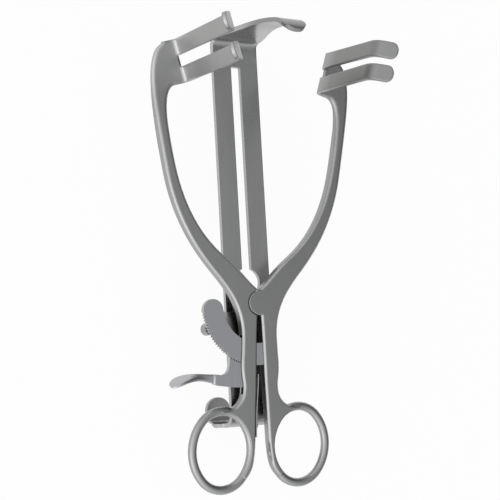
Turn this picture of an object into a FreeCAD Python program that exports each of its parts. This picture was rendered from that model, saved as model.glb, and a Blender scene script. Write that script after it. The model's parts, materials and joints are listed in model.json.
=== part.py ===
import FreeCAD, Part
import os
from math import atan2, cos, degrees, radians, sin, tan

# Self retaining retractor: two ring-handled arms with forked side blades, a curved ratchet
# rack with a sprung pawl, and a centre blade on a slotted bar behind the pivot.
# Millimetres. +X is the right arm, +Y runs along the instrument towards the blades, +Z is
# the front face that looks at the user. The origin is on the pivot axis, on the flat front
# face of the joint.

V = FreeCAD.Vector

# Arms and box joint
arm_thickness = 5.8
joint_middle_z = -arm_thickness / 2
lobe_radius = 7.0
lobe_clearance = 0.2
lap_clearance = 0.06
crotch_angle = 10.6
pivot_radius = 2.5
running_fit = 0.06
front_bevel = 1.1
back_bevel = 0.7
arc_fit = 0.2

# Lateral forks
palm_thickness = 2.3
fold_bottom = V(40.8, 122.4, 0)
fold_top = V(47.6, 145.8, 0)
prong_thickness = 2.2
prong_width = 9.0
prong_bend_radius = 3.4
prong_lean = 2.8
prong_straight = 50.8
prong_curl_radius = 11.0
prong_curl_angle = 50.0
prong_end = 7.6
prong_tip_round = 4.0
prong_slot_root = 3.0
right_prong_dips = (4.0, 5.8)
left_prong_dips = (0, 0)

# Finger rings
ring_centre_x = 24.5
ring_centre_y = -81.0
ring_half_width = 18.1
ring_half_height = 21.6
ring_end_radius = 16.0
ring_rod_radius = 2.45
rod_flats = 12
ring_trim = 0.9

# Ratchet rack, on the right shank, through a slot in the left shank
rack_tip_radius = 35.0
rack_inner_radius = 22.6
rack_thickness = 2.4
rack_middle_z = joint_middle_z
rack_free_angle = 187.5
rack_root_angle = 281.0
rack_pin_angle = 280.4
rack_pin_radius = 1.1
rack_last_tooth_angle = 259.0
tooth_pitch_angle = 2.75
tooth_depth = 0.95
slot_side_gap = 0.3
slot_top_y = -18.0
slot_bottom_y = -50.6

# Pawl lever in the same slot
pawl_offset = 3.9
pawl_angle = 260.5
pawl_pin_radius = 1.3
pawl_nose_radius = rack_tip_radius + 0.25
thumb_flats = 10

# Centre guide, bar and blade: built flat, then leaned back about the X axis
bar_front_z = -13.3
lean_angle = 4.0
bar_half_width = 14.7
bar_thickness = 2.4
bar_slot_half_width = 2.95
bar_slot_top = 138.8
bar_slot_bottom = -1.5
keyhole_centre = 12.0
keyhole_radius = 8.1
bar_bottom = -58.0
bar_bend_start = 150.3
blade_half_width = 7.4
blade_straight = 22.0
blade_curve_radius = 130.0
blade_curl_radius = 15.0
bend_radius = 4.5
hook_leg = 32.5
hook_tongue = 9.8
hook_neck_half_width = 5.0
hook_corner_round = 5.5
hook_half_width = 7.8
guide_gap = 0.25
guide_plate = 2.4
cheek_thickness = 1.3
guide_half_width = bar_half_width + 0.35 + cheek_thickness
guide_top = -5.0
guide_bottom = -27.5
stud_collar_radius = 6.0
stud_neck_radius = 2.5
stud_head_radius = 7.0
catch_pivot = V(-guide_half_width - 3.4, -15.0, 0)
catch_pin_radius = 1.2
catch_head_radius = 2.0

os.makedirs("parts", exist_ok=True)


def save(name, shape):
    """Write one sub-part as a STEP file."""
    shape.exportStep("parts/" + name + ".step")


def on_circle(centre, radius, degrees, z=0.0):
    """Point on a circle about a centre, at an angle counted from +X."""
    a = radians(degrees)
    return V(centre.x + radius * cos(a), centre.y + radius * sin(a), z)


def arc_edge(centre, radius, start, end):
    """Circular edge in the XY plane from one angle to another."""
    first = on_circle(centre, radius, start)
    middle = on_circle(centre, radius, (start + end) / 2)
    last = on_circle(centre, radius, end)
    return Part.Arc(first, middle, last).toShape()


def line_edge(first, last):
    """Straight edge between two points."""
    return Part.LineSegment(first, last).toShape()


def curve_edges(points):
    """Smooth run through a few points given as (x, y), as a chain of tangent arcs."""
    curve = Part.BSplineCurve()
    curve.interpolate([V(x, y, 0) for x, y in points])
    return [arc.toShape() for arc in curve.toBiArcs(arc_fit)]


def face_of(edges):
    """Flat face inside a closed loop of edges."""
    return Part.Face(Part.Wire(Part.__sortEdges__(edges)))


def polygon_face(points):
    """Flat face with straight sides through (x, y) points."""
    corners = [V(x, y, 0) for x, y in points]
    return Part.Face(Part.makePolygon(corners + corners[:1]))


def slab(face, low, high):
    """Extrude a flat XY face from one height to another."""
    solid = face.extrude(V(0, 0, high - low))
    solid.translate(V(0, 0, low))
    return solid


def cylinder(x, y, radius, low, high):
    """Upright cylinder between two heights."""
    return Part.makeCylinder(radius, high - low, V(x, y, low))


def box(x0, x1, y0, y1, z0, z1):
    """Box between two corners."""
    return Part.makeBox(x1 - x0, y1 - y0, z1 - z0, V(x0, y0, z0))


def mirror_x(shape):
    """Mirror image across the plane of symmetry."""
    return shape.mirror(V(0, 0, 0), V(1, 0, 0))


def strip_path(start, heading, moves, thickness):
    """Face of a bent strip of constant thickness, drawn like a walk along its middle line.

    Each move is ("line", length) or ("arc", radius, turn), where a positive turn is to the
    left. Returns the face, the end point and the end heading.
    """
    half = thickness / 2
    x, y, angle = start[0], start[1], heading
    left, right = [], []

    def side(offset):
        a = radians(angle + 90)
        return V(x + offset * cos(a), y + offset * sin(a), 0)

    start_cap = line_edge(side(half), side(-half))
    for move in moves:
        left_start, right_start = side(half), side(-half)
        if move[0] == "line":
            x += move[1] * cos(radians(angle))
            y += move[1] * sin(radians(angle))
            left.append(line_edge(left_start, side(half)))
            right.append(line_edge(right_start, side(-half)))
        else:
            radius, turn = move[1], move[2]
            sign = 1 if turn > 0 else -1
            hub_angle = radians(angle + 90 * sign)
            hub = V(x + radius * cos(hub_angle), y + radius * sin(hub_angle), 0)
            first = angle - 90 * sign
            left.append(arc_edge(hub, radius - sign * half, first, first + turn))
            right.append(arc_edge(hub, radius + sign * half, first, first + turn))
            angle += turn
            end = on_circle(hub, radius, first + turn)
            x, y = end.x, end.y
    end_cap = line_edge(side(half), side(-half))
    return face_of([start_cap, end_cap] + left + right), (x, y), angle


def to_side_view(shape):
    """Turn a shape drawn in XY so that drawn x becomes +Y, drawn y becomes +Z, depth is +X."""
    placed = shape.copy()
    placed.transformShape(FreeCAD.Matrix(0, 0, 1, 0, 1, 0, 0, 0, 0, 1, 0, 0, 0, 0, 0, 1))
    return placed


def to_front_view(shape):
    """Turn a shape drawn in XY so that drawn y becomes +Z and its depth runs along -Y."""
    placed = shape.copy()
    placed.rotate(V(0, 0, 0), V(1, 0, 0), 90)
    return placed


def round_edges(solid, radius, wanted):
    """Fillet the edges of a solid that the wanted test picks."""
    edges = [edge for edge in solid.Edges if wanted(edge)]
    return solid.makeFillet(radius, edges)


def bevel_edges(solid, size, wanted):
    """Chamfer the edges of a solid that the wanted test picks."""
    edges = [edge for edge in solid.Edges if wanted(edge)]
    return solid.makeChamfer(size, edges)


def round_tip(plate, end, heading, low, high, radius):
    """Round the free end of a bent strip that stands between two heights in its drawing.

    The end and the heading are those of the strip's walk.
    """
    half = (high - low) / 2
    waste = box(-half - 1, half + 1, -radius, 1, -9, 9)
    kept = box(-half, half, -4 * radius, 0, -10, 10)
    kept = round_edges(kept, radius, lambda edge: edge.BoundBox.ZLength > 19
                       and edge.BoundBox.YMin > -0.01)
    waste = waste.cut(kept)
    c, s = cos(radians(heading)), sin(radians(heading))
    waste.transformShape(FreeCAD.Matrix(0, c, -s, end[0],
                                        0, s, c, end[1],
                                        1, 0, 0, (low + high) / 2,
                                        0, 0, 0, 1))
    return plate.cut(waste)


def lean_back(shape):
    """Place a piece of the centre group: from its flat drawing to behind the joint."""
    placed = shape.copy()
    placed.rotate(V(0, 0, 0), V(1, 0, 0), -lean_angle)
    placed.translate(V(0, 0, bar_front_z))
    return placed


def arm_outline():
    """Plan of the right arm: shank, joint side, curved arm and palm up to the fold."""
    crotch = (8.3 * tan(radians(crotch_angle)), 8.3)
    outer = [(11.2, -44), (11.2, -20), (12.1, -8), (15.2, 0), (20.4, 8), (34.6, 25),
             (47.1, 45), (53.0, 60), (57.5, 80), (61.0, 100), (63.4, 118), (63.4, 130),
             (60.6, 139), (53.4, 144.1)]
    inner = [crotch, (5.8, 12), (13.8, 20), (25.7, 30), (34.7, 40), (41.0, 50),
             (45.5, 60), (51.0, 80), (54.3, 100), (54.4, 112), (52.2, 118.2), (46.56, 120.7)]
    shank_inner = [(11, -98), (6.2, -91), (4.4, -80), (3.4, -58), (2.4, -40), (2.0, -27),
                   (1.2, -8.6)]
    throat = [(11.2, -44), (11.7, -51), (14.2, -55.8), (18.5, -58.2), (24.8, -58.9)]
    corners = [V(1.2, -8.6, 0), V(0.7, -5, 0), V(0.7, 3.8, 0), V(crotch[0], crotch[1], 0)]
    edges = curve_edges(outer) + curve_edges(inner)
    edges += curve_edges(shank_inner) + curve_edges(throat)
    edges += [line_edge(a, b) for a, b in zip(corners, corners[1:])]
    edges.append(line_edge(V(46.56, 120.7, 0), V(53.4, 144.1, 0)))
    web = [V(24.8, -58.9, 0), V(24.8, -70, 0), V(17, -90, 0), V(11, -98, 0)]
    edges += [line_edge(a, b) for a, b in zip(web, web[1:])]
    return face_of(edges)


def arm_side_profile():
    """Side view of an arm: full thickness at the joint, thinning to the palm."""
    back = [(45, -arm_thickness), (80, -5.3), (105, -4.2), (120, -2.75), (135, -palm_thickness)]
    corners = [(135, -palm_thickness), (160, -palm_thickness), (160, 0), (-120, 0)]
    corners += [(-120, -arm_thickness), (45, -arm_thickness)]
    points = [V(x, y, 0) for x, y in corners]
    edges = curve_edges(back) + [line_edge(a, b) for a, b in zip(points, points[1:])]
    solid = slab(face_of(edges), -80, 80)
    return to_side_view(solid)


def oval_edges(inset):
    """Oval of the right finger ring as four tangent arcs, drawn in by an inset."""
    tall, wide, end = ring_half_height, ring_half_width, ring_end_radius
    side = (tall ** 2 - 2 * tall * end + wide ** 2) / (2 * (wide - end))
    join = degrees(atan2(tall - end, side - wide))
    centre = V(ring_centre_x, ring_centre_y, 0)
    across = V(side - wide, 0, 0)
    along = V(0, tall - end, 0)
    return [arc_edge(centre - across, side - inset, -join, join),
            arc_edge(centre + along, end - inset, join, 180 - join),
            arc_edge(centre + across, side - inset, 180 - join, 180 + join),
            arc_edge(centre - along, end - inset, 180 + join, 360 - join)]


def many_sided(centre, radius, across, upward, flats):
    """Closed wire of equal flats round a centre, in the plane of two directions."""
    points = []
    for index in range(flats):
        a = radians(360 * (index + 0.5) / flats)
        points.append(centre + across * (radius * cos(a)) + upward * (radius * sin(a)))
    return Part.makePolygon(points + points[:1])


def finger_ring():
    """Oval ring for the right arm; its round rod is drawn with many flats."""
    edges = oval_edges(0)
    path = Part.Wire(Part.__sortEdges__(edges))
    first = edges[0]
    start = first.valueAt(first.FirstParameter)
    heading = first.tangentAt(first.FirstParameter)
    upward = V(0, 0, 1)
    rod = many_sided(start, ring_rod_radius, heading.cross(upward), upward, rod_flats)
    ring = path.makePipeShell([rod], True, True)
    ring.translate(V(0, 0, joint_middle_z))
    return ring


def ring_opening():
    """Oval plug that trims the shank flush with the middle of the ring rod."""
    return slab(face_of(oval_edges(ring_trim)), -20, 20)


def prong(start, heading, low, high, dip):
    """One prong in the fork's drawing, which dips by an angle towards the joint."""
    moves = [("line", prong_straight + 0.5), ("arc", prong_curl_radius, -prong_curl_angle)]
    moves.append(("line", prong_end))
    below = (start[0] - 0.5 * cos(radians(heading)), start[1] - 0.5 * sin(radians(heading)))
    face, end, end_heading = strip_path(below, heading, moves, prong_thickness)
    plate = slab(face, low, high)
    plate = round_tip(plate, end, end_heading, low, high, prong_tip_round)
    plate.rotate(V(start[0], start[1], (low + high) / 2), V(1, 0, 0), -dip)
    return plate


def fork(dips):
    """Two curled prongs folded up from the palm of the right arm, each with its own dip."""
    along = fold_top - fold_bottom
    length = along.Length
    along.normalize()
    moves = [("line", 5.5), ("arc", prong_bend_radius, -(90 - prong_lean))]
    start = (10.0, -palm_thickness / 2)
    face, bend_end, heading = strip_path(start, 180, moves, prong_thickness)
    root = slab(face, 0, length)
    root = root.cut(box(-20, prong_slot_root, -20, 20, prong_width, length - prong_width))
    prongs = [prong(bend_end, heading, low, low + prong_width, dip)
              for low, dip in zip((0, length - prong_width), dips)]
    plate = root.fuse(prongs)
    outward = V(along.y, -along.x, 0)
    place = FreeCAD.Matrix(outward.x, 0, along.x, fold_bottom.x,
                           outward.y, 0, along.y, fold_bottom.y,
                           0, 1, 0, 0,
                           0, 0, 0, 1)
    plate.transformShape(place)
    return plate


def arm_blank(prong_dips):
    """Right arm forging before the joint is cut: shank, ring, arm, palm and fork."""
    body = slab(arm_outline(), -arm_thickness, 0)

    def on_rim(edge, height):
        near = edge.BoundBox
        level = near.ZLength < 0.01 and abs(near.ZMin - height) < 0.01
        at_joint = near.XMax < 2 and near.YMin > -9 and near.YMax < 8.4
        at_fold = near.YMin > 120 and near.XMax < 53.5
        at_ring = near.YMax < -43.9 and near.XMax > 5
        return level and not (at_joint or at_fold or at_ring)

    body = bevel_edges(body, front_bevel, lambda edge: on_rim(edge, 0))
    body = bevel_edges(body, back_bevel, lambda edge: on_rim(edge, -arm_thickness))
    body = body.common(arm_side_profile())
    body = body.cut(ring_opening())
    return body.fuse([finger_ring(), fork(prong_dips)]).removeSplitter()


def cut_joint(blank, front_lobe):
    """Cut the half-lap: a round lobe on one half and a round recess on the other."""
    middle = joint_middle_z
    half_gap = lap_clearance
    recess = lobe_radius + lobe_clearance
    if front_lobe:
        lobe = cylinder(0, 0, lobe_radius, middle + half_gap, 0)
        away = cylinder(0, 0, recess, -arm_thickness - 1, middle + half_gap)
    else:
        lobe = cylinder(0, 0, lobe_radius, -arm_thickness, middle - half_gap)
        away = cylinder(0, 0, recess, middle - half_gap, 1)
    return blank.fuse(lobe).cut(away).removeSplitter()


def rack_plate(tip_radius, tip_angle):
    """Plain ring sector of the rack, with a rounded free end."""
    centre = V(0, 0, 0)
    mid_radius = (tip_radius + rack_inner_radius) / 2
    half = (tip_radius - rack_inner_radius) / 2
    sector = face_of([
        arc_edge(centre, tip_radius, tip_angle, rack_root_angle),
        line_edge(on_circle(centre, tip_radius, rack_root_angle),
                  on_circle(centre, rack_inner_radius, rack_root_angle)),
        arc_edge(centre, rack_inner_radius, rack_root_angle, tip_angle),
        line_edge(on_circle(centre, rack_inner_radius, tip_angle),
                  on_circle(centre, tip_radius, tip_angle))])
    low = rack_middle_z - rack_thickness / 2
    high = rack_middle_z + rack_thickness / 2
    end = on_circle(centre, mid_radius, tip_angle)
    return slab(sector, low, high).fuse(cylinder(end.x, end.y, half, low, high)).removeSplitter()


def ratchet_rack():
    """Curved rack with saw teeth on its outer edge."""
    plate = rack_plate(rack_tip_radius, rack_free_angle)
    centre = V(0, 0, 0)
    angle = rack_free_angle
    notches = []
    while angle < rack_last_tooth_angle:
        steep = on_circle(centre, rack_tip_radius - tooth_depth, angle + tooth_pitch_angle * 0.78)
        tip = on_circle(centre, rack_tip_radius + 0.3, angle + tooth_pitch_angle * 0.92)
        back = on_circle(centre, rack_tip_radius + 0.3, angle - tooth_pitch_angle * 0.12)
        notches.append(slab(polygon_face([(p.x, p.y) for p in (steep, tip, back)]), -20, 5))
        angle += tooth_pitch_angle
    return plate.cut(Part.makeCompound(notches)).cut(rack_pins())


def rack_pins():
    """Two hidden cross pins that hold the rack root in the right shank."""
    low = -arm_thickness
    high = -1.1
    places = [on_circle(V(0, 0, 0), radius, rack_pin_angle)
              for radius in (rack_inner_radius + 3.6, rack_tip_radius - 2.5)]
    return Part.makeCompound([cylinder(p.x, p.y, rack_pin_radius, low, high) for p in places])


def rack_slot():
    """Through slot in the left shank for the rack and the pawl."""
    half = rack_thickness / 2 + slot_side_gap
    return box(-14, 0, slot_bottom_y, slot_top_y, rack_middle_z - half, rack_middle_z + half)


def pivot_bore():
    """Blind bore of both arms for the pivot stud."""
    return cylinder(0, 0, pivot_radius + running_fit, -arm_thickness - 1, -1.0)


def right_arm():
    """Right arm with the front lobe, the rack pocket and the pin holes."""
    arm = cut_joint(arm_blank(right_prong_dips), True)
    arm = arm.cut(pivot_bore())
    arm = arm.cut(rack_plate(rack_tip_radius, 240).cut(box(-60, -8, -60, 60, -20, 5)))
    return arm.cut(rack_pins())


def left_arm():
    """Left arm with the back lobe, the rack slot, and the pawl and spring holes."""
    arm = mirror_x(cut_joint(arm_blank(left_prong_dips), False))
    arm = arm.cut(pivot_bore())
    arm = arm.cut(rack_slot())
    arm = arm.cut(pawl_pin())
    return arm.cut(spring_screw_shank())


def pawl_axis():
    """Centre of the pawl pin, a set distance outside the tips of the teeth."""
    return on_circle(V(0, 0, 0), rack_tip_radius + pawl_offset, pawl_angle)


def pawl_pin():
    """Pin of the pawl lever, hidden under the front face."""
    axis = pawl_axis()
    return cylinder(axis.x, axis.y, pawl_pin_radius, -arm_thickness, -0.6)


def pawl_lever():
    """Pawl plate with a toothed nose, a heel for the spring and a twisted thumb rest."""
    centre = V(0, 0, 0)
    low = rack_middle_z - rack_thickness / 2
    high = rack_middle_z + rack_thickness / 2
    axis = pawl_axis()
    first, last = pawl_angle - 23.0, pawl_angle - 8.5
    nose_left = on_circle(centre, pawl_nose_radius, first) - axis
    nose_right = on_circle(centre, pawl_nose_radius, last) - axis
    edges = [line_edge(V(-29.6, -1.0, 0), V(-29.6, -3.8, 0)),
             line_edge(V(4.2, -6.4, 0), V(4.2, -4.4, 0))]
    for run in (
            [(nose_left.x, nose_left.y), (-13.4, 2.2), (-14.6, -0.2), (-19.1, -1.0)],
            [(-19.1, -1.0), (-25.6, -0.6), (-29.6, -1.0)],
            [(-29.6, -3.8), (-24.1, -5.8), (-13.1, -8.0), (-4.6, -8.5)],
            [(-4.6, -8.5), (1.4, -8.2), (4.2, -6.4)],
            [(4.2, -4.4), (2.8, -2.4), (2.6, 0.4)],
            [(2.6, 0.4), (1.2, 2.3), (-1.2, 2.4)],
            [(-1.2, 2.4), (-3.2, 2.8), (nose_right.x, nose_right.y)]):
        edges += curve_edges(run)
    for edge in edges:
        edge.translate(axis)
    edges.append(arc_edge(centre, pawl_nose_radius, first, last))
    plate = slab(face_of(edges), low, high)
    teeth = []
    angle = first + 1.0
    while angle < last - 1.5:
        root = on_circle(centre, pawl_nose_radius + 0.7, angle + tooth_pitch_angle * 0.75)
        top_a = on_circle(centre, pawl_nose_radius - 0.2, angle - tooth_pitch_angle * 0.1)
        top_b = on_circle(centre, pawl_nose_radius - 0.2, angle + tooth_pitch_angle * 0.9)
        teeth.append(slab(polygon_face([(p.x, p.y) for p in (root, top_a, top_b)]), -20, 5))
        angle += tooth_pitch_angle
    plate = plate.cut(Part.makeCompound(teeth))
    lever = plate.fuse(thumb_rest())
    bore = cylinder(axis.x, axis.y, pawl_pin_radius + running_fit, -20, 5)
    return lever.cut(bore)


def thumb_rest():
    """Twisted neck and oval pad of the pawl lever, ruled between ovals with many flats."""
    stations = [(-22.6, -3.2, 2.5, 1.1, 0), (-27.6, -2.4, 2.1, 1.15, 12),
                (-32.1, -1.9, 2.2, 1.2, 40), (-36.6, -2.0, 3.4, 1.2, 64),
                (-41.6, -3.0, 5.0, 1.15, 70), (-46.2, -4.7, 4.6, 1.0, 70),
                (-48.8, -6.0, 2.0, 0.6, 70)]
    axis = pawl_axis()
    wires = []
    for x, y, half_height, half_thickness, twist in stations:
        a = radians(90 - twist)
        tall = V(0, sin(a), -cos(a)) * half_height
        thick = V(0, cos(a), sin(a)) * half_thickness
        wires.append(many_sided(axis + V(x, y, rack_middle_z), 1.0, tall, thick, thumb_flats))
    return Part.makeLoft(wires, True, True)


def pawl_spring():
    """Leaf spring on the inner side of the left shank, bearing on the heel of the pawl."""
    moves = [("line", 12), ("arc", 60, -3.0), ("line", 14.0), ("arc", 60, 3.4), ("line", 2.4)]
    face, end, heading = strip_path((-3.62, -75.0), 88.0, moves, 0.6)
    half = 2.1
    leaf = slab(face, joint_middle_z - half, joint_middle_z + half)
    return leaf.cut(spring_screw_shank())


def spring_screw_shank():
    """Threaded shank of the pawl spring screw, along X into the left shank."""
    shank = Part.makeCylinder(0.8, 4.0, V(-2.9, -68.5, joint_middle_z), V(-1, 0, 0))
    return shank


def pawl_spring_screw():
    """Small cheese-head screw that holds the pawl spring."""
    head = Part.makeCylinder(1.7, 0.8, V(-3.04, -68.5, joint_middle_z), V(1, 0, 0))
    slot = box(-2.6, -2.0, -70.5, -66.5, joint_middle_z - 0.25, joint_middle_z + 0.25)
    return head.fuse(spring_screw_shank()).cut(slot)


def thrust_washer():
    """Plain washer between the joint and the collar of the pivot stud."""
    low = -arm_thickness - 0.95
    high = -arm_thickness - 0.15
    return cylinder(0, 0, 6.5, low, high).cut(cylinder(0, 0, pivot_radius, low - 1, high + 1))


def guide_seat():
    """Everything behind the front face of the guide plate, as a tall slab."""
    top = guide_gap + guide_plate
    return lean_back(box(-40, 40, -40, 40, top - 30, top))


def screw_thread_body():
    """Threaded end of the guide screw, inside the collar of the stud."""
    top = guide_gap + guide_plate
    return lean_back(cylinder(0, 0, 1.9, top, top + 2.6))


def pivot_stud():
    """Pivot stud: shaft through both laps, with a collar that carries the guide."""
    shaft = cylinder(0, 0, pivot_radius, -12, -1.1)
    collar = cylinder(0, 0, stud_collar_radius, -12, -arm_thickness - 1.0)
    return shaft.fuse(collar).cut(guide_seat()).cut(screw_thread_body()).removeSplitter()


def guide_screw():
    """Shoulder screw whose wide head keeps the bar on the guide, small enough for the keyhole."""
    top = guide_gap + guide_plate
    head_top = -bar_thickness - guide_gap
    neck = cylinder(0, 0, stud_neck_radius, head_top, top)
    head = cylinder(0, 0, stud_head_radius, head_top - 2.4, head_top)
    head = bevel_edges(head, 0.8, lambda edge: edge.BoundBox.ZMax < head_top - 2.3)
    driver_slot = box(-8, 8, -0.7, 0.7, head_top - 3, head_top - 1.4)
    screw = head.cut(driver_slot).fuse(neck)
    return lean_back(screw).fuse(screw_thread_body()).removeSplitter()


def bar_guide():
    """Guide plate in front of the bar, with a cheek along each edge of the bar and an ear."""
    low = guide_gap
    high = guide_gap + guide_plate
    neck = face_of([
        arc_edge(V(0, 0, 0), 7.4, 0, 180),
        line_edge(V(7.4, 0, 0), V(9.5, guide_top, 0)),
        line_edge(V(-7.4, 0, 0), V(-9.5, guide_top, 0)),
        line_edge(V(9.5, guide_top, 0), V(9.5, guide_bottom + 6, 0)),
        line_edge(V(-9.5, guide_top, 0), V(-9.5, guide_bottom + 6, 0)),
        line_edge(V(-9.5, guide_bottom + 6, 0), V(9.5, guide_bottom + 6, 0))])
    plate = slab(neck, low, high)
    saddle = box(-guide_half_width, guide_half_width, guide_bottom, guide_top, -3.2, high)
    inner = guide_half_width - cheek_thickness
    saddle = saddle.cut(box(-inner, inner, guide_bottom - 1, guide_top + 1, -4, low))
    saddle = round_edges(saddle, 0.9, lambda edge: edge.BoundBox.ZMin > high - 0.01
                         and edge.BoundBox.YLength > 10)
    x, y, r, edge_x = catch_pivot.x, catch_pivot.y, 2.9, -guide_half_width + 0.6
    ear = slab(face_of([
        arc_edge(catch_pivot, r, 90, 270),
        line_edge(V(x, y + r, 0), V(edge_x, y + r, 0)),
        line_edge(V(edge_x, y + r, 0), V(edge_x, y - r, 0)),
        line_edge(V(edge_x, y - r, 0), V(x, y - r, 0))]), low + 0.8, high - 0.2)
    guide = plate.fuse([saddle, ear])
    window = box(-guide_half_width - 1, -bar_half_width, y - 3.8, y + 4.2, -4, low + 0.3)
    guide = guide.cut(window)
    guide = guide.cut(cylinder(0, 0, stud_neck_radius, -5, 5))
    guide = guide.cut(cylinder(x, y, catch_pin_radius, -5, 5))
    guide = guide.cut(catch_screw_shank())
    return lean_back(guide).removeSplitter()


def catch_pin():
    """Headed pin of the catch lever, riveted in the ear of the guide."""
    high = guide_gap + guide_plate - 0.2
    pin = cylinder(catch_pivot.x, catch_pivot.y, catch_pin_radius, -3.4, high)
    head = cylinder(catch_pivot.x, catch_pivot.y, catch_head_radius, -3.9, -3.1)
    head = bevel_edges(head, 0.3, lambda edge: edge.BoundBox.ZMax < -3.8)
    return lean_back(pin.fuse(head).removeSplitter())


def catch_lever():
    """Spring catch: cam nose beside the bar, hub, tail and a rolled finger tab."""
    low, high = -2.9, 0.8
    x, y = catch_pivot.x, catch_pivot.y
    hub = cylinder(x, y, 2.15, low, high)
    cam = V(-bar_half_width - guide_gap - 2.3, y + 0.8, 0)
    back = V(x - 0.2, y - 1.9, 0)
    nose = slab(face_of([
        arc_edge(cam, 2.3, -60, 80),
        line_edge(on_circle(cam, 2.3, 80), V(x - 0.4, y + 2.1, 0)),
        line_edge(V(x - 0.4, y + 2.1, 0), back),
        line_edge(back, on_circle(cam, 2.3, -60))]), low + 0.2, -0.1)
    tail = box(x - 1.2, x + 0.8, y - 5.0, y, low + 0.2, high - 0.6)
    moves = [("line", 3.6), ("arc", 2.9, 285)]
    face, end, heading = strip_path((x - 1.3, y - 0.9), 118, moves, 1.4)
    tab = slab(face, -5.2, high)
    lever = hub.fuse([nose, tail, tab])
    lever = lever.cut(cylinder(x, y, catch_pin_radius + running_fit, -9, 5))
    lever = lever.cut(cylinder(x, y, catch_head_radius + 0.2, -9, low))
    return lean_back(lever.removeSplitter())


def catch_spring():
    """Leaf spring on the cheek of the guide, pressing the tail of the catch lever."""
    moves = [("line", 2.9), ("arc", 6.0, 20.0), ("line", 1.4), ("arc", 6.0, -20.0)]
    face, end, heading = strip_path((-guide_half_width - 0.25, guide_bottom + 0.4), 90, moves, 0.5)
    leaf = slab(face, -2.7, 0.0)
    return lean_back(leaf.cut(catch_screw_shank()))


def catch_screw_shank():
    """Shank of the catch spring screw in the left cheek."""
    start = V(-guide_half_width - 0.5, guide_bottom + 1.7, -1.35)
    return Part.makeCylinder(0.6, cheek_thickness + 0.5, start, V(1, 0, 0))


def catch_spring_screw():
    """Small domed screw that holds the catch spring."""
    start = V(-guide_half_width - 0.5, guide_bottom + 1.7, -1.35)
    head = Part.makeCylinder(1.15, 0.7, start, V(-1, 0, 0))
    return lean_back(head.fuse(catch_screw_shank()).removeSplitter())


def blade_front():
    """Front outline of the blade, drawn with z as y: as wide as the bar, then tapering."""
    wide, narrow = bar_half_width, blade_half_width
    flare = [(wide, 6), (wide - 1.8, 14), (wide - 4.6, 25), (narrow + 0.5, 41), (narrow, 54)]
    return face_of([
        line_edge(V(-wide, -10, 0), V(wide, -10, 0)),
        line_edge(V(wide, -10, 0), V(wide, 6, 0)),
        line_edge(V(narrow, 54, 0), V(narrow, 90, 0)),
        line_edge(V(narrow, 90, 0), V(-narrow, 90, 0)),
        line_edge(V(-narrow, 90, 0), V(-narrow, 54, 0)),
        line_edge(V(-wide, 6, 0), V(-wide, -10, 0))]
        + curve_edges(flare) + curve_edges([(-x, z) for x, z in flare]))


def centre_blade():
    """Centre blade: slotted bar, folded blade with a curled lip, and a finger hook."""
    middle = -bar_thickness / 2
    moves = [("line", bar_bend_start - bar_bottom), ("arc", bend_radius, 92)]
    moves += [("line", blade_straight), ("arc", blade_curve_radius, 16)]
    moves += [("arc", blade_curl_radius, 42), ("line", 1.5)]
    face, tip, heading = strip_path((bar_bottom, middle), 0, moves, bar_thickness)
    strip = slab(face, -bar_half_width, bar_half_width)
    strip = round_tip(strip, tip, heading, -blade_half_width, blade_half_width,
                      blade_half_width - 0.4)
    strip = to_side_view(strip)
    body = strip.common(to_front_view(slab(blade_front(), -200, 100)))
    body = body.fuse(finger_hook()).removeSplitter()
    body = body.cut(box(-bar_slot_half_width, bar_slot_half_width, bar_slot_bottom,
                        bar_slot_top, -5, 5))
    body = body.cut(cylinder(0, bar_slot_bottom, bar_slot_half_width, -5, 5))
    body = body.cut(cylinder(0, keyhole_centre, keyhole_radius, -5, 5))
    return lean_back(body)


def finger_hook():
    """Lower end of the bar: runs back, narrows and curls up into a rounded tongue."""
    middle = -bar_thickness / 2
    moves = [("line", 4.6), ("arc", 6.0, 88), ("line", hook_leg), ("arc", 6.5, 96)]
    moves.append(("line", hook_tongue))
    face, end, heading = strip_path((bar_bottom, middle), 180, moves, bar_thickness)
    wide, neck, narrow = bar_half_width, hook_neck_half_width, hook_half_width
    strip = slab(face, -wide, wide)
    strip = round_tip(strip, end, heading, -narrow, narrow, narrow - 0.2)
    strip = to_side_view(strip)
    right = [(wide, -7), (wide - 0.8, -12), (neck + 3.4, -26), (neck, -38)]
    low = -70
    plan = face_of([
        line_edge(V(-wide, 5, 0), V(wide, 5, 0)),
        line_edge(V(wide, 5, 0), V(wide, -7, 0)),
        line_edge(V(neck, -38, 0), V(neck, low, 0)),
        line_edge(V(neck, low, 0), V(-neck, low, 0)),
        line_edge(V(-neck, low, 0), V(-neck, -38, 0)),
        line_edge(V(-wide, -7, 0), V(-wide, 5, 0))]
        + curve_edges(right) + curve_edges([(-x, z) for x, z in right]))
    leg = strip.common(to_front_view(slab(plan, 40, 100)))
    lowest = strip.BoundBox.YMin + 1.5
    outline = box(-narrow, narrow, lowest, 0, low, -38)
    outline = round_edges(outline, hook_corner_round, lambda edge: edge.BoundBox.ZLength > 20
                          and edge.BoundBox.YMax < lowest + 0.01)
    return leg.fuse(strip.common(outline))


def main():
    """Build and save every sub-part."""
    save("right_arm", right_arm())
    save("left_arm", left_arm())
    save("ratchet_rack", ratchet_rack())
    save("rack_pins", rack_pins())
    save("pawl_lever", pawl_lever())
    save("pawl_pin", pawl_pin())
    save("pawl_spring", pawl_spring())
    save("pawl_spring_screw", pawl_spring_screw())
    save("thrust_washer", thrust_washer())
    save("pivot_stud", pivot_stud())
    save("guide_screw", guide_screw())
    save("bar_guide", bar_guide())
    save("catch_lever", catch_lever())
    save("catch_pin", catch_pin())
    save("catch_spring", catch_spring())
    save("catch_spring_screw", catch_spring_screw())
    save("centre_blade", centre_blade())


main()
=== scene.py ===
"""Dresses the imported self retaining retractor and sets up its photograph."""

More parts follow.
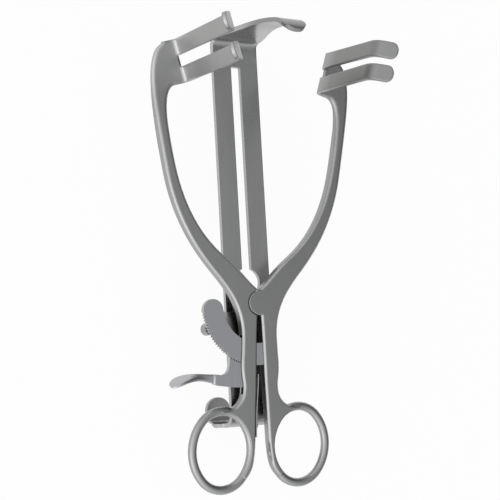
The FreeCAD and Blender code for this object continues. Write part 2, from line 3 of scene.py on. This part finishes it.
import json
import logging
import math
from dataclasses import dataclass
from enum import Enum

import bpy
from mathutils import Matrix, Vector


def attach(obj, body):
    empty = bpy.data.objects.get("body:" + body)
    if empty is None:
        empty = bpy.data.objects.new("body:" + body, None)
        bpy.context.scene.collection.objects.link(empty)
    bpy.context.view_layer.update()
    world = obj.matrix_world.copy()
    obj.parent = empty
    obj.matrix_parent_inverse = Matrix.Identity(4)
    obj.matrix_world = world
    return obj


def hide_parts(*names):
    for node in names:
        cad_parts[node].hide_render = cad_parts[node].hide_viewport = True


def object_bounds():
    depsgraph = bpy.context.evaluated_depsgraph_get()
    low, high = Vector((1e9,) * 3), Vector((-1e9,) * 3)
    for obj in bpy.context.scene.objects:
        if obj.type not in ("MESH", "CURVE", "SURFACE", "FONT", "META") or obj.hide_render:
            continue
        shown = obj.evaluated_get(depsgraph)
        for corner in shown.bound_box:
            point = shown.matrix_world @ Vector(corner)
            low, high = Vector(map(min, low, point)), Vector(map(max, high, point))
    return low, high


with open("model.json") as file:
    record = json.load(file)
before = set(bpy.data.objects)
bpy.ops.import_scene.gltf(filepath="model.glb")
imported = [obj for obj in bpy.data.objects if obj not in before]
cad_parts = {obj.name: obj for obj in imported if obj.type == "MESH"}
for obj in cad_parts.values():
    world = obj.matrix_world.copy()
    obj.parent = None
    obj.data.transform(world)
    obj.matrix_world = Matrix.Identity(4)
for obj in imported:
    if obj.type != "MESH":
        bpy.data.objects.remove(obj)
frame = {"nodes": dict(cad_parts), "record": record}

MM = 0.001
CAD_LOW, CAD_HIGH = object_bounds()
ALONG_PIECE = (0.0, 1.0, 0.0)
TOWARDS_FRONT = (0.0, 0.0, 1.0)
WHITE = (1.0, 1.0, 1.0, 1.0)
MIX_COLOUR_A, MIX_COLOUR_B, MIX_COLOUR_OUT = 6, 7, 2
log = logging.getLogger("retractor")


class Grain(Enum):
    """Direction of the fine polishing marks on a steel piece."""

    ALONG = (1.0, 0.05, 1.0)
    ACROSS = (0.05, 1.0, 1.0)
    BLASTED = (1.0, 1.0, 1.0)


class Signal:
    """A shader value whose arithmetic adds Math nodes to its graph."""

    def __init__(self, graph: "Graph", socket: bpy.types.NodeSocket) -> None:
        """Keep the graph and the output socket."""
        self.graph = graph
        self.socket = socket

    def __add__(self, other: "Signal | float") -> "Signal":
        """Sum."""
        return self.graph.math("ADD", self, other)

    def __sub__(self, other: "Signal | float") -> "Signal":
        """Difference."""
        return self.graph.math("SUBTRACT", self, other)

    def __rsub__(self, other: float) -> "Signal":
        """Difference from a number."""
        return self.graph.math("SUBTRACT", other, self)

    def __mul__(self, other: "Signal | float") -> "Signal":
        """Product."""
        return self.graph.math("MULTIPLY", self, other)

    __radd__ = __add__

    def clamped(self) -> "Signal":
        """The value held between 0 and 1."""
        return self.graph.math("ADD", self, 0.0, clamp=True)


class Graph:
    """Node tree of one material or of the world, built from calls."""

    def __init__(self, owner: bpy.types.Material | bpy.types.World) -> None:
        """Start with an empty tree.

        Args:
            owner: the material or world that the nodes belong to.
        """
        self.owner = owner
        self.owner.use_nodes = True
        self.tree = self.owner.node_tree
        self.tree.nodes.clear()

    def node(self, kind: str, settings: dict | None = None,
             inputs: dict | None = None) -> bpy.types.Node:
        """Add one node.

        Args:
            kind: the node's type.
            settings: properties that are set before the sockets.
            inputs: socket name or number, with a value or a Signal.

        Returns:
            The new node.
        """
        made = self.tree.nodes.new(kind)
        for key, value in (settings or {}).items():
            setattr(made, key, value)
        for key, value in (inputs or {}).items():
            socket = made.inputs[key]
            if isinstance(value, Signal):
                self.tree.links.new(value.socket, socket)
            else:
                socket.default_value = value
        return made

    def signal(self, kind: str, output: str | int, settings: dict | None = None,
               inputs: dict | None = None) -> Signal:
        """Add one node and return one of its outputs."""
        return Signal(self, self.node(kind, settings, inputs).outputs[output])

    def math(self, operation: str, a: Signal | float, b: Signal | float,
             clamp: bool = False) -> Signal:
        """Add a Math node on two values."""
        return self.signal("ShaderNodeMath", 0, {"operation": operation, "use_clamp": clamp},
                           {0: a, 1: b})

    def noise(self, place: Signal, scale: float, detail: float) -> Signal:
        """Noise value from 0 to 1 at a place, with its scale in cycles per metre."""
        return self.signal("ShaderNodeTexNoise", "Fac", None,
                           {"Vector": place, "Scale": scale, "Detail": detail})

    def blend(self, factor: Signal | float, a: tuple | Signal, b: tuple | Signal) -> Signal:
        """Mix two colours."""
        return self.signal("ShaderNodeMix", MIX_COLOUR_OUT, {"data_type": "RGBA"},
                           {0: factor, MIX_COLOUR_A: a, MIX_COLOUR_B: b})

    def dot(self, a: Signal, b: Signal | tuple[float, float, float]) -> Signal:
        """Dot product of two vectors."""
        return self.signal("ShaderNodeVectorMath", "Value", {"operation": "DOT_PRODUCT"},
                           {0: a, 1: b})

    def mixed(self, factor: Signal, a: bpy.types.Node, b: bpy.types.Node) -> bpy.types.Node:
        """Mix two shaders."""
        mix = self.node("ShaderNodeMixShader", None, {0: factor})
        self.tree.links.new(a.outputs[0], mix.inputs[1])
        self.tree.links.new(b.outputs[0], mix.inputs[2])
        return mix

    def finish(self, shader: bpy.types.Node,
               output: str = "ShaderNodeOutputMaterial") -> bpy.types.ID:
        """Join a shader to the output and return the owner of the nodes."""
        self.tree.links.new(shader.outputs[0], self.node(output).inputs["Surface"])
        return self.owner


def rgba(colour: tuple[float, float, float]) -> tuple[float, float, float, float]:
    """Add a full alpha to a colour."""
    return (*colour, 1.0)


@dataclass(frozen=True)
class SteelFinish:
    """Satin stainless steel: blasted skin, faint polishing marks and brighter worn edges.

    Scales are in cycles per metre. A painted highlight may lie on the palm of an arm, and
    painted shade on its prongs and on the blade of the bar, setting in by position on the
    piece. Ambient occlusion paints shade into recesses and under pieces that lie close in
    front.
    """

    name: str
    tone: tuple[float, float, float]
    roughness: float
    grain: Grain = Grain.ALONG
    mark_depth: float = 0.25
    mark_scale: float = 900.0
    skin_scale: float = 2600.0
    skin_depth: float = 0.09
    edge_radius: float = 0.35 * MM
    edge_samples: int = 6
    edge_gain: float = 1.2
    far_radius: float | None = None
    far_from: float = 30 * MM
    far_to: float = 110 * MM
    # Factors that lighten the palm and darken the prongs by position: painted highlight and
    # painted shade.
    palm_painted_light: float = 1.0
    prong_painted_shade: float = 1.0
    # Darkening by ambient occlusion in recesses and under nearby pieces: painted shade.
    painted_shade_reach: float = 1.6 * MM
    painted_shade_samples: int = 6
    painted_shade_local: bool = True
    painted_shade_depth: float = 0.55
    cloud_scale: float = 55.0
    cloud_share: float = 0.5
    smudge_scale: float = 210.0
    fold_from: float = 5 * MM
    fold_to: float = 12 * MM
    fold_share: float = 0.85
    # Where the painted highlight of the palm and the painted shade of the prongs set in, and
    # how strongly.
    palm_from: float = 112 * MM
    palm_to: float = 128 * MM
    prong_from: float = 3 * MM
    prong_to: float = 16 * MM
    painted_light_share: float = 0.85
    dull_tone: float = 0.90
    light_tone: float = 1.08
    worn_tone: float = 1.22
    # Colour that the painted shade in recesses darkens towards.
    painted_shade_tone: float = 0.35
    worn_share: float = 0.7
    rough_drop: float = 0.09
    rough_marks: float = 0.07
    rough_smudge: float = 0.07
    rough_skin: float = 0.04
    rough_edge: float = 0.08
    bump_strength: float = 0.16
    bump_distance: float = 0.03 * MM

    def rounding(self, graph: Graph, place: Signal) -> Signal | float:
        """Radius of the rounded edges, which may grow along the piece but not up the prongs.

        Args:
            graph: nodes of the material.
            place: position on the piece.

        Returns:
            The radius, as a number where it is the same all over.
        """
        if self.far_radius is None:
            return self.edge_radius
        out = self.ramp(graph, place, ALONG_PIECE, self.far_from, self.far_to)
        prong = self.ramp(graph, place, TOWARDS_FRONT, self.fold_from, self.fold_to)
        out = out * (1.0 - prong * self.fold_share)
        return out * (self.far_radius - self.edge_radius) + self.edge_radius

    def ramp(self, graph: Graph, place: Signal, way: tuple[float, float, float],
             start: float, stop: float) -> Signal:
        """Value that climbs from 0 to 1 between two distances along a direction.

        Args:
            graph: nodes of the material.
            place: position on the piece.
            way: direction along which the distance is taken.
            start: distance at which the value is 0.
            stop: distance at which it is 1.

        Returns:
            The value.
        """
        reach = stop - start
        return (graph.dot(place, way) * (1.0 / reach) - start / reach).clamped()

    def painted_light_and_shade(self, graph: Graph, place: Signal, base: Signal) -> Signal:
        """Lay the painted highlight of the palm and the painted shade of the prongs over an
        arm's colour.

        Args:
            graph: nodes of the material.
            place: position on the piece.
            base: colour of the steel so far.

        Returns:
            The colour with the painted highlight and the painted shade.
        """
        palm = self.ramp(graph, place, ALONG_PIECE, self.palm_from, self.palm_to)
        prong = self.ramp(graph, place, TOWARDS_FRONT, self.prong_from, self.prong_to)
        if self.palm_painted_light != 1.0:
            base = graph.blend(palm * (1.0 - prong) * self.painted_light_share, base,
                               self.toned(self.palm_painted_light))
        if self.prong_painted_shade != 1.0:
            base = graph.blend(prong * self.painted_light_share, base, self.toned(self.prong_painted_shade))
        return base

    def toned(self, factor: float) -> tuple[float, float, float, float]:
        """The steel's colour, lighter or darker by a factor."""
        return rgba(tuple(min(1.0, c * factor) for c in self.tone))

    def build(self) -> bpy.types.Material:
        """Make the material.

        Returns:
            The finished steel.
        """
        graph = Graph(bpy.data.materials.new(self.name))
        place = graph.signal("ShaderNodeTexCoord", "Object")
        stretched = graph.signal("ShaderNodeMapping", 0, None,
                                 {"Vector": place, "Scale": self.grain.value})
        marks = graph.noise(stretched, self.mark_scale, 3.0)
        skin = graph.noise(place, self.skin_scale, 2.0)
        cloud = graph.noise(place, self.cloud_scale, 4.0)
        smudge = graph.noise(place, self.smudge_scale, 3.0)
        soft = graph.signal("ShaderNodeBevel", 0, {"samples": self.edge_samples},
                            {"Radius": self.rounding(graph, place)})
        facing = graph.dot(soft, graph.signal("ShaderNodeNewGeometry", "Normal"))
        edge = ((1.0 - facing) * self.edge_gain).clamped()
        # Ambient occlusion darkens the colour in recesses and under nearby pieces: painted
        # shade.
        crease = graph.signal("ShaderNodeAmbientOcclusion", "AO",
                              {"samples": self.painted_shade_samples,
                               "only_local": self.painted_shade_local},
                              {"Distance": self.painted_shade_reach})
        painted_shade = ((1.0 - crease) * self.painted_shade_depth).clamped()
        cloudy = marks * (1.0 - self.cloud_share) + cloud * self.cloud_share
        base = graph.blend(cloudy.clamped(), self.toned(self.dull_tone),
                           self.toned(self.light_tone))
        # Painted highlight on the palm and painted shade on the prongs.
        base = self.painted_light_and_shade(graph, place, base)
        base = graph.blend(edge * self.worn_share, base, self.toned(self.worn_tone))
        base = graph.blend(painted_shade, base, self.toned(self.painted_shade_tone))
        rough = (self.roughness - self.rough_drop) + marks * self.rough_marks
        rough = rough + smudge * self.rough_smudge + skin * self.rough_skin
        rough = rough - edge * self.rough_edge
        height = marks * self.mark_depth + skin * self.skin_depth
        bump = graph.signal("ShaderNodeBump", 0, None,
                            {"Strength": self.bump_strength,
                             "Distance": self.bump_distance, "Height": height,
                             "Normal": soft})
        shader = graph.node("ShaderNodeBsdfPrincipled", None,
                            {"Base Color": base, "Metallic": 1.0,
                             "Roughness": rough.clamped(), "Normal": bump})
        return graph.finish(shader)


@dataclass(frozen=True)
class Finishes:
    """All finishes of the instrument."""

    # The right arm's prongs carry painted shade and the left arm's palm a painted highlight.
    right_arm: SteelFinish = SteelFinish("satin_right_arm_steel", (0.35, 0.35, 0.345), 0.31,
                                         edge_radius=0.9 * MM, edge_samples=12,
                                         far_radius=2.6 * MM, prong_painted_shade=0.6)
    left_arm: SteelFinish = SteelFinish("satin_left_arm_steel", (0.36, 0.36, 0.355), 0.31,
                                        edge_radius=0.9 * MM, edge_samples=12,
                                        far_radius=2.6 * MM, palm_painted_light=1.4)
    # Painted shade darkens the blade's tip, and wide ambient occlusion paints shade on the bar
    # under the arms.
    blade: SteelFinish = SteelFinish("satin_blade_steel", (0.44, 0.44, 0.435), 0.27,
                                     edge_radius=0.5 * MM, edge_samples=8,
                                     far_radius=2.4 * MM, far_from=144 * MM,
                                     far_to=152 * MM, prong_painted_shade=0.56,
                                     painted_shade_reach=9 * MM, painted_shade_samples=16,
                                     painted_shade_local=False, painted_shade_depth=0.7)
    rack: SteelFinish = SteelFinish("satin_rack_steel", (0.47, 0.47, 0.485), 0.34, Grain.ACROSS)
    lever: SteelFinish = SteelFinish("polished_lever_steel", (0.48, 0.48, 0.495), 0.32)
    # The guide's dark tone and its strong wide ambient occlusion are painted shade behind the
    # arms.
    guide: SteelFinish = SteelFinish("satin_guide_steel", (0.30, 0.30, 0.295), 0.30,
                                     Grain.ACROSS, painted_shade_reach=9 * MM, painted_shade_samples=16,
                                     painted_shade_local=False, painted_shade_depth=0.95)
    # Strong ambient occlusion paints shade into the catch's recesses.
    catch: SteelFinish = SteelFinish("turned_catch_steel", (0.33, 0.33, 0.32), 0.32,
                                     Grain.BLASTED, painted_shade_reach=4 * MM, painted_shade_depth=0.9)
    spring: SteelFinish = SteelFinish("spring_steel", (0.36, 0.36, 0.35), 0.28)
    screw: SteelFinish = SteelFinish("turned_screw_steel", (0.36, 0.36, 0.35), 0.33,
                                     Grain.BLASTED)


def pick_only(piece: bpy.types.Object) -> None:
    """Select one object alone and make it active."""
    bpy.ops.object.select_all(action="DESELECT")
    piece.select_set(True)
    bpy.context.view_layer.objects.active = piece


@dataclass
class SteelPart:
    """One solid of the instrument, dressed with its ground surface and its finish.

    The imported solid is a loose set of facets. The dressed piece welds them, shades the round
    stretches smoothly and keeps every machined edge.
    """

    node: str
    body: str
    finish: SteelFinish
    crease: float = 26.0
    weld: float = 0.002 * MM

    def dress(self) -> bpy.types.Object:
        """Make the dressed piece, which stands for its solid.

        Returns:
            The new piece.
        """
        mesh = frame["nodes"][self.node].data.copy()
        piece = bpy.data.objects.new(f"{self.node}_ground", mesh)
        bpy.context.scene.collection.objects.link(piece)
        pick_only(piece)
        if mesh.has_custom_normals:
            bpy.ops.mesh.customdata_custom_splitnormals_clear()
        bpy.ops.object.mode_set(mode="EDIT")
        bpy.ops.mesh.select_all(action="SELECT")
        bpy.ops.mesh.remove_doubles(threshold=self.weld)
        bpy.ops.mesh.select_all(action="SELECT")
        bpy.ops.mesh.mark_sharp(clear=True)
        bpy.ops.object.mode_set(mode="OBJECT")
        bpy.ops.object.shade_smooth_by_angle(angle=math.radians(self.crease))
        piece.data.materials.clear()
        made = bpy.data.materials.get(self.finish.name)
        piece.data.materials.append(made or self.finish.build())
        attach(piece, self.body)
        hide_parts(self.node)
        slot_of(self.node)
        log.info("dressed %s: %d faces", self.node, len(piece.data.polygons))
        return piece


def slot_of(node: str) -> str:
    """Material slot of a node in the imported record."""
    for row in frame["record"]["subparts"]:
        if row["node"] == node:
            return row["material_slot"]
    raise KeyError(node)


@dataclass
class Arms:
    """Two ring-handled arms with their forks."""

    left: SteelFinish
    right: SteelFinish
    lobe_radius: float = 7.0 * MM
    lap_z: float = -2.9 * MM
    ease: float = 0.3 * MM
    clear_of_lap: float = 0.01 * MM
    clear_of_middle: float = 1.2 * MM
    radius_slack: float = 0.03 * MM

    def build(self) -> None:
        """Dress both arms and ease the edge of each lobe."""
        for node, finish in (("left_arm", self.left), ("right_arm", self.right)):
            arm = SteelPart(node, f"{node}_body", finish, crease=34.0).dress()
            self.ease_lobe(arm, front=node == "right_arm")

    def ease_lobe(self, arm: bpy.types.Object, front: bool) -> None:
        """Draw the round lobe of the lap joint in, so that its joint line shows.

        Args:
            arm: the dressed arm.
            front: whether its lobe is the front one.
        """
        pick_only(arm)
        bpy.ops.object.mode_set(mode="EDIT")
        bpy.ops.mesh.select_mode(type="VERT")
        bpy.ops.mesh.select_all(action="DESELECT")
        bpy.ops.object.mode_set(mode="OBJECT")
        picked = 0
        for vertex in arm.data.vertices:
            x, y, z = vertex.co
            off_lap = z - self.lap_z if front else self.lap_z - z
            off_middle = -x if front else x
            off_radius = abs(math.hypot(x, y) - self.lobe_radius)
            vertex.select = (off_lap > self.clear_of_lap and off_middle > self.clear_of_middle
                             and off_radius < self.radius_slack)
            picked += vertex.select
        factor = 1.0 - self.ease / self.lobe_radius
        bpy.ops.object.mode_set(mode="EDIT")
        bpy.ops.transform.resize(value=(factor, factor, 1.0), center_override=(0, 0, 0))
        bpy.ops.object.mode_set(mode="OBJECT")
        log.info("eased the lobe of %s: %d corners", arm.name, picked)


@dataclass(frozen=True)
class Station:
    """One oval section of the thumb rest, in millimetres from the pawl pin and degrees."""

    x: float
    y: float
    half_height: float
    half_thickness: float
    twist: float


@dataclass
class PawlLever:
    """Pawl plate cut off behind its neck, and a round thumb rest drawn out from there.

    The rest starts as a plane whose half size is 1 mm, so the first station's halves are its
    growth factors.
    """

    finish: SteelFinish
    pin: tuple[float, float, float] = (-6.42 * MM, -38.37 * MM, -2.9 * MM)
    cut_x: float = -22.7 * MM
    corner: float = 0.32 * MM
    seed_size: float = 2 * MM
    cap_reach: float = 0.3 * MM
    cap_share: float = 0.4
    rounds: int = 2
    stations: tuple[Station, ...] = (
        Station(-20.6, -3.2, 2.3, 1.0, 0), Station(-22.8, -3.2, 2.62, 1.14, 0),
        Station(-25.0, -2.8, 2.35, 1.14, 3), Station(-27.6, -2.4, 2.15, 1.15, 11),
        Station(-30.2, -2.05, 2.1, 1.2, 25), Station(-32.6, -1.9, 2.25, 1.25, 42),
        Station(-35.4, -1.95, 2.95, 1.25, 58), Station(-38.6, -2.3, 4.1, 1.2, 67),
        Station(-41.8, -3.05, 4.95, 1.15, 70), Station(-44.6, -4.0, 5.0, 1.1, 70),
        Station(-46.9, -5.0, 4.2, 0.95, 70), Station(-48.3, -5.75, 2.6, 0.7, 70))

    def plate(self) -> None:
        """Dress the plate and cut its faceted thumb rest away."""
        plate = SteelPart("pawl_lever", "pawl", self.finish, crease=28.0).dress()
        pick_only(plate)
        bpy.ops.object.mode_set(mode="EDIT")
        bpy.ops.mesh.select_all(action="SELECT")
        bpy.ops.mesh.bisect(plane_co=(self.pin[0] + self.cut_x, 0, 0), plane_no=(-1, 0, 0),
                            use_fill=True, clear_outer=True)
        bpy.ops.object.mode_set(mode="OBJECT")

    def rest(self) -> bpy.types.Object:
        """Draw the thumb rest out through its oval sections."""
        bpy.ops.object.select_all(action="DESELECT")
        first = self.stations[0]
        spot = self.spot(first)
        bpy.ops.mesh.primitive_plane_add(size=self.seed_size, location=spot,
                                         rotation=(0, math.pi / 2, 0))
        piece = bpy.context.active_object
        piece.name = "thumb_rest"
        bpy.ops.object.transform_apply(location=True, rotation=True, scale=True)
        bpy.ops.object.mode_set(mode="EDIT")
        bpy.ops.mesh.select_all(action="SELECT")
        bpy.ops.mesh.bevel(offset=self.corner, segments=1, affect="VERTICES")
        bpy.ops.mesh.select_all(action="SELECT")
        self.shape(spot, (first.half_height, first.half_thickness), 0.0, first.twist)
        for last, this in zip(self.stations, self.stations[1:]):
            here, there = self.spot(last), self.spot(this)
            bpy.ops.mesh.extrude_region_move(
                TRANSFORM_OT_translate={"value": tuple(there - here)})
            grow = (this.half_height / last.half_height,
                    this.half_thickness / last.half_thickness)
            self.shape(there, grow, last.twist, this.twist)
        bpy.ops.mesh.extrude_region_move(
            TRANSFORM_OT_translate={"value": (-self.cap_reach, 0, 0)})
        bpy.ops.transform.resize(value=(self.cap_share,) * 3)
        bpy.ops.mesh.select_all(action="SELECT")
        bpy.ops.mesh.normals_make_consistent(inside=False)
        bpy.ops.object.mode_set(mode="OBJECT")
        round_form = piece.modifiers.new("round_form", "SUBSURF")
        round_form.levels = self.rounds
        round_form.render_levels = self.rounds
        bpy.ops.object.modifier_apply(modifier=round_form.name)
        bpy.ops.object.shade_smooth()
        return piece

    def spot(self, station: Station) -> Vector:
        """Middle of a section in the scene."""
        return Vector(self.pin) + Vector((station.x, station.y, 0)) * MM

    def shape(self, middle: Vector, grow: tuple[float, float], before: float,
              after: float) -> None:
        """Stretch the selected oval along its own axes and turn it.

        Args:
            middle: centre of the oval.
            grow: factors along the oval's height and thickness.
            before: twist of the oval when it is drawn out.
            after: twist that it ends with.
        """
        self.turn(middle, before)
        bpy.ops.transform.resize(value=(1, grow[0], grow[1]), center_override=middle)
        self.turn(middle, -after)

    def turn(self, middle: Vector, degrees: float) -> None:
        """Turn the selection about a line along X through a point.

        Without a window the operator turns the other way, hence the sign.
        """
        if degrees:
            bpy.ops.transform.rotate(value=math.radians(-degrees), orient_axis="X",
                                     center_override=middle)

    def build(self) -> None:
        """Make both pieces of the lever."""
        self.plate()
        rest = self.rest()
        rest.data.materials.append(bpy.data.materials[self.finish.name])
        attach(rest, "pawl")
        slot_of("pawl_lever")
        log.info("drew the thumb rest: %d faces", len(rest.data.polygons))


@dataclass
class RatchetLock:
    """Curved rack, pawl lever, their pins, and the leaf spring with its screw."""

    finishes: Finishes

    def build(self) -> None:
        """Dress the lock's pieces."""
        SteelPart("ratchet_rack", "right_arm_body", self.finishes.rack).dress()
        SteelPart("rack_pins", "right_arm_body", self.finishes.screw).dress()
        PawlLever(self.finishes.lever).build()
        SteelPart("pawl_pin", "left_arm_body", self.finishes.screw).dress()
        SteelPart("pawl_spring", "left_arm_body", self.finishes.spring).dress()
        SteelPart("pawl_spring_screw", "left_arm_body", self.finishes.screw).dress()


@dataclass
class PivotGuide:
    """Pivot stud, washer, guide plate and shoulder screw behind the joint."""

    finishes: Finishes

    def build(self) -> None:
        """Dress the pivot and the guide."""
        for node in ("pivot_stud", "thrust_washer", "guide_screw"):
            SteelPart(node, "guide", self.finishes.screw).dress()
        SteelPart("bar_guide", "guide", self.finishes.guide).dress()


@dataclass
class SpringCatch:
    """Catch lever beside the bar with its pin, leaf spring and screw."""

    finishes: Finishes

    def build(self) -> None:
        """Dress the catch."""
        SteelPart("catch_lever", "catch", self.finishes.catch).dress()
        SteelPart("catch_pin", "guide", self.finishes.screw).dress()
        SteelPart("catch_spring", "guide", self.finishes.spring).dress()
        SteelPart("catch_spring_screw", "guide", self.finishes.screw).dress()


@dataclass
class CentreBlade:
    """Slotted bar with the folded blade and the finger hook."""

    finish: SteelFinish

    def build(self) -> None:
        """Dress the bar."""
        SteelPart("centre_blade", "centre_bar", self.finish).dress()


@dataclass(frozen=True)
class PhotoCamera:
    """Camera that stands where the photograph was taken."""

    azimuth: float = 28.91
    elevation: float = -3.14
    roll: float = -1.29
    distance: float = 634 * MM
    metres_per_pixel: float = 0.5624 * MM
    pivot_pixel: tuple[float, float] = (259.9, 302.6)
    image_size: float = 500.0
    sensor: float = 36.0
    nearest: float = 0.01

    def build(self) -> bpy.types.Object:
        """Make the camera and give it to the scene.

        Returns:
            The camera.
        """
        turn, lift = math.radians(self.azimuth), math.radians(self.elevation)
        back = Vector((-math.sin(turn) * math.cos(lift), math.sin(lift),
                       math.cos(turn) * math.cos(lift)))
        right = Vector((math.cos(turn), 0.0, math.sin(turn)))
        up = back.cross(right)
        roll = math.radians(self.roll)
        level_right, level_up = right.copy(), up.copy()
        right = level_right * math.cos(roll) + level_up * math.sin(roll)
        up = level_up * math.cos(roll) - level_right * math.sin(roll)
        middle = self.image_size / 2
        pivot_right = (self.pivot_pixel[0] - middle) * self.metres_per_pixel
        pivot_up = (middle - self.pivot_pixel[1]) * self.metres_per_pixel
        place = back * self.distance - right * pivot_right - up * pivot_up
        data = bpy.data.cameras.new("photo_camera")
        data.sensor_width = self.sensor
        data.lens = self.sensor * self.distance / (self.metres_per_pixel * self.image_size)
        data.clip_start = self.nearest
        camera = bpy.data.objects.new("photo_camera", data)
        pose = Matrix((right, up, back)).transposed().to_4x4()
        camera.matrix_world = Matrix.Translation(place) @ pose
        bpy.context.scene.collection.objects.link(camera)
        bpy.context.scene.camera = camera
        return camera


@dataclass(frozen=True)
class Lamp:
    """One soft box: where it stands, how large and how strong it is."""

    name: str
    place: tuple[float, float, float]
    size: float
    power: float
    colour: tuple[float, float, float]

    def build(self, aim: Vector) -> None:
        """Hang the lamp and turn it to a point.

        Args:
            aim: the point that it lights.
        """
        data = bpy.data.lights.new(self.name, "AREA")
        data.shape = "DISK"
        data.size = self.size
        data.energy = self.power
        data.color = self.colour
        lamp = bpy.data.objects.new(self.name, data)
        lamp.location = self.place
        lamp.rotation_euler = (aim - Vector(self.place)).to_track_quat("-Z", "Y").to_euler()
        bpy.context.scene.collection.objects.link(lamp)


@dataclass
class Studio:
    """White table, a pale room that is brighter on the left, and soft boxes."""

    floor_size: float = 60.0
    floor_drop: float = 0.1 * MM
    floor_tone: tuple[float, float, float] = (0.9, 0.9, 0.9)
    floor_glow: float = 0.93
    wall_level: float = 0.98
    room_level: float = 0.9
    room_fall: tuple[float, float, float] = (-0.8, -0.35, 0.0)
    room_least: float = 0.12
    room_tint: tuple[float, float, float] = (0.97, 0.985, 1.0)
    lamp_aim: tuple[float, float, float] = (0.0, 0.02, 0.0)
    lamps: tuple[Lamp, ...] = (
        Lamp("key_box", (-1.4, -0.6, 0.75), 1.1, 1.6, (1.0, 0.99, 0.97)),
        Lamp("top_box", (-0.3, 1.5, 0.7), 0.7, 1.0, (0.97, 0.98, 1.0)),
    )

    def table_paint(self) -> bpy.types.Material:
        """White table that stays white to the lens and to the steel, and keeps shadows."""
        graph = Graph(bpy.data.materials.new("white_table"))
        paint = graph.node("ShaderNodeBsdfDiffuse", None, {"Color": rgba(self.floor_tone)})
        glow = graph.node("ShaderNodeEmission", None, {"Color": WHITE, "Strength": 1.0})
        path = graph.node("ShaderNodeLightPath")
        seen = (Signal(graph, path.outputs["Is Camera Ray"])
                + Signal(graph, path.outputs["Is Glossy Ray"])
                + Signal(graph, path.outputs["Is Transmission Ray"])).clamped()
        return graph.finish(graph.mixed(seen * self.floor_glow, paint, glow))

    def room(self) -> bpy.types.World:
        """Pale room, lit from the left, whose light falls off evenly to the right."""
        graph = Graph(bpy.data.worlds.new("room"))
        way = graph.signal("ShaderNodeTexCoord", "Object")
        level = graph.dot(way, self.room_fall) + self.room_level
        level = graph.math("MAXIMUM", level, self.room_least)
        sky = graph.node("ShaderNodeBackground", None,
                         {"Color": rgba(self.room_tint), "Strength": level})
        wall = graph.node("ShaderNodeBackground", None,
                          {"Color": WHITE, "Strength": self.wall_level})
        lens = graph.signal("ShaderNodeLightPath", "Is Camera Ray")
        return graph.finish(graph.mixed(lens, sky, wall), "ShaderNodeOutputWorld")

    def build(self) -> None:
        """Lay the table and hang the lamps."""
        bpy.ops.object.select_all(action="DESELECT")
        bpy.ops.mesh.primitive_plane_add(size=self.floor_size,
                                         location=(0, 0, CAD_LOW.z - self.floor_drop))
        floor = bpy.context.active_object
        floor.name = "table"
        floor.data.materials.append(self.table_paint())
        bpy.context.scene.world = self.room()
        for lamp in self.lamps:
            lamp.build(Vector(self.lamp_aim))
        bpy.context.scene.view_settings.view_transform = "Standard"


def main() -> None:
    """Build every sub-assembly, the camera and the studio."""
    logging.basicConfig(level=logging.INFO, format="%(message)s")
    finishes = Finishes()
    Arms(finishes.left_arm, finishes.right_arm).build()
    RatchetLock(finishes).build()
    PivotGuide(finishes).build()
    SpringCatch(finishes).build()
    CentreBlade(finishes.blade).build()
    PhotoCamera().build()
    Studio().build()


if __name__ == "__main__":
    main()
